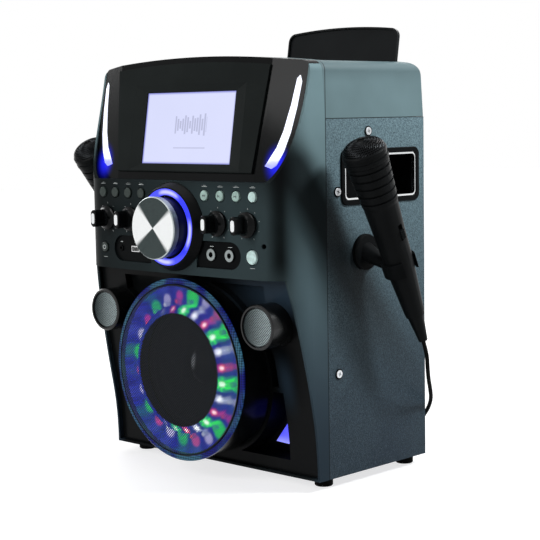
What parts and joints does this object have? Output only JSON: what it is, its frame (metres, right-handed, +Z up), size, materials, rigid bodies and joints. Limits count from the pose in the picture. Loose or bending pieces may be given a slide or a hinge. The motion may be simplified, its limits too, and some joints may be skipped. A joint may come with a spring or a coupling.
{
  "type": "karaoke machine",
  "caption": "Free-standing karaoke machine with a top disc bay and open lid, lyric screen, lit speaker, knobs and two clipped microphones.",
  "frame": {"origin": "on the floor, under the middle of the machine without its loose lead", "axes": "+X to the right side seen from the front, +Y to the rear, +Z up"},
  "size_m": [0.504, 0.3891, 0.5445],
  "materials": {
    "vinyl_board": "satin",
    "back_board": "matt",
    "satin_plastic": "satin",
    "black_plastic": "matt",
    "gloss_black": "polished",
    "pale_plastic": "satin",
    "lamp_blue": "lit",
    "lamp_white": "lit",
    "screen_glass": "lit",
    "chrome": "polished",
    "screw_steel": "satin",
    "spun_aluminium": "spun",
    "mesh_steel": "matt",
    "basket_steel": "matt",
    "cone_paper": "matt",
    "rubber_black": "matt",
    "mic_mesh": "woven",
    "white_plastic": "satin"
  },
  "bodies": {
    "machine": {"cabinet": "vinyl_board", "back_panel": "back_board", "rear_connectors": "black_plastic", "cabinet_screws": "screw_steel", "feet": "rubber_black", "handle_cup_left": "black_plastic", "handle_cup_right": "black_plastic", "handle_trims": "chrome", "top_cover": "satin_plastic", "disc_deck": "black_plastic", "sled_rods": "screw_steel", "lid_hinge_pins": "screw_steel", "head_frame": "gloss_black", "screen_bezel": "black_plastic", "lcd_panel": "screen_glass", "light_guides": "lamp_white", "front_housing": "satin_plastic", "dial_collar": "black_plastic", "dial_light_ring": "lamp_blue", "control_pots": "screw_steel", "jack_insets": "black_plastic", "microphone_jacks": "black_plastic", "line_jack": "black_plastic", "usb_port": "white_plastic", "speaker_surround": "black_plastic", "speaker_drum": "gloss_black", "lamp_ring": "lamp_blue", "speaker_lamps": "lamp_white", "speaker_grille": "mesh_steel", "woofer_frame": "basket_steel", "woofer_cone": "cone_paper", "tweeter_pods": "gloss_black", "tweeter_grilles": "mesh_steel", "foot_lamps": "lamp_blue", "microphone_clips": "black_plastic", "microphone_bodies": "satin_plastic", "microphone_heads": "mic_mesh", "mic_cord": "rubber_black", "mic_cord_coil": "rubber_black", "mic_plug": "black_plastic"},
    "disc_lid": {"disc_lid": "gloss_black"},
    "disc_spindle": {"disc_spindle": "black_plastic"},
    "laser_sled": {"laser_sled": "black_plastic"},
    "volume_dial": {"volume_dial": "spun_aluminium"},
    "knob_microphone": {"knob_microphone": "gloss_black"},
    "knob_music": {"knob_music": "gloss_black"},
    "knob_treble": {"knob_treble": "gloss_black"},
    "knob_echo": {"knob_echo": "gloss_black"},
    "button_light": {"button_light": "black_plastic"},
    "button_source": {"button_source": "black_plastic"},
    "button_program": {"button_program": "black_plastic"},
    "button_repeat": {"button_repeat": "black_plastic"},
    "button_previous": {"button_previous": "pale_plastic"},
    "button_play": {"button_play": "pale_plastic"},
    "button_next": {"button_next": "pale_plastic"},
    "button_stop": {"button_stop": "pale_plastic"},
    "button_power": {"button_power": "black_plastic"},
    "button_record": {"button_record": "white_plastic"},
    "switch_right": {"switch_right": "black_plastic"},
    "switch_left": {"switch_left": "black_plastic"}
  },
  "joints": [
    {"name": "lid_hinge", "type": "hinge", "parent": "machine", "child": "disc_lid", "pos_m": [0.0697, 0.1028, 0.4213], "axis": [1, 0, 0], "range_deg": [0, 99.5]},
    {"name": "disc_spin", "type": "hinge", "parent": "machine", "child": "disc_spindle", "pos_m": [0.0697, 0.0414, 0.41], "axis": [0, 0, 1], "continuous": true},
    {"name": "sled_slide", "type": "slide", "parent": "machine", "child": "laser_sled", "axis": [1, 0, 0], "range_m": [0, 0.03]},
    {"name": "volume_turn", "type": "hinge", "parent": "machine", "child": "volume_dial", "pos_m": [0, -0.1232, 0.3066], "axis": [0, -1, 0], "range_deg": [-150, 150]},
    {"name": "knob_microphone_turn", "type": "hinge", "parent": "machine", "child": "knob_microphone", "pos_m": [-0.1224, -0.10864, 0.313], "axis": [0, -1, 0], "range_deg": [-150, 150]},
    {"name": "knob_music_turn", "type": "hinge", "parent": "machine", "child": "knob_music", "pos_m": [-0.0763, -0.11094, 0.313], "axis": [0, -1, 0], "range_deg": [-150, 150]},
    {"name": "knob_treble_turn", "type": "hinge", "parent": "machine", "child": "knob_treble", "pos_m": [0.0763, -0.11094, 0.313], "axis": [0, -1, 0], "range_deg": [-150, 150]},
    {"name": "knob_echo_turn", "type": "hinge", "parent": "machine", "child": "knob_echo", "pos_m": [0.1224, -0.10864, 0.313], "axis": [0, -1, 0], "range_deg": [-150, 150]},
    {"name": "button_light_press", "type": "slide", "parent": "machine", "child": "button_light", "axis": [0, 1, 0], "range_m": [0, 0.0012], "stiffness_N_per_m": 300, "springref_m": -0.0007},
    {"name": "button_source_press", "type": "slide", "parent": "machine", "child": "button_source", "axis": [0, 1, 0], "range_m": [0, 0.0012], "stiffness_N_per_m": 300, "springref_m": -0.0007},
    {"name": "button_program_press", "type": "slide", "parent": "machine", "child": "button_program", "axis": [0, 1, 0], "range_m": [0, 0.0012], "stiffness_N_per_m": 300, "springref_m": -0.0007},
    {"name": "button_repeat_press", "type": "slide", "parent": "machine", "child": "button_repeat", "axis": [0, 1, 0], "range_m": [0, 0.0012], "stiffness_N_per_m": 300, "springref_m": -0.0007},
    {"name": "button_previous_press", "type": "slide", "parent": "machine", "child": "button_previous", "axis": [0, 1, 0], "range_m": [0, 0.0012], "stiffness_N_per_m": 300, "springref_m": -0.0007},
    {"name": "button_play_press", "type": "slide", "parent": "machine", "child": "button_play", "axis": [0, 1, 0], "range_m": [0, 0.0012], "stiffness_N_per_m": 300, "springref_m": -0.0007},
    {"name": "button_next_press", "type": "slide", "parent": "machine", "child": "button_next", "axis": [0, 1, 0], "range_m": [0, 0.0012], "stiffness_N_per_m": 300, "springref_m": -0.0007},
    {"name": "button_stop_press", "type": "slide", "parent": "machine", "child": "button_stop", "axis": [0, 1, 0], "range_m": [0, 0.0012], "stiffness_N_per_m": 300, "springref_m": -0.0007},
    {"name": "button_power_press", "type": "slide", "parent": "machine", "child": "button_power", "axis": [0, 1, 0], "range_m": [0, 0.0012], "stiffness_N_per_m": 300, "springref_m": -0.0007},
    {"name": "button_record_press", "type": "slide", "parent": "machine", "child": "button_record", "axis": [0, 1, 0], "range_m": [0, 0.0012], "stiffness_N_per_m": 300, "springref_m": -0.0007},
    {"name": "switch_right_slide", "type": "slide", "parent": "machine", "child": "switch_right", "axis": [0, -0.421, 0.907], "range_m": [0, 0.005]},
    {"name": "switch_left_slide", "type": "slide", "parent": "machine", "child": "switch_left", "axis": [0, -0.5358, 0.8443], "range_m": [0, 0.005]}
  ]
}
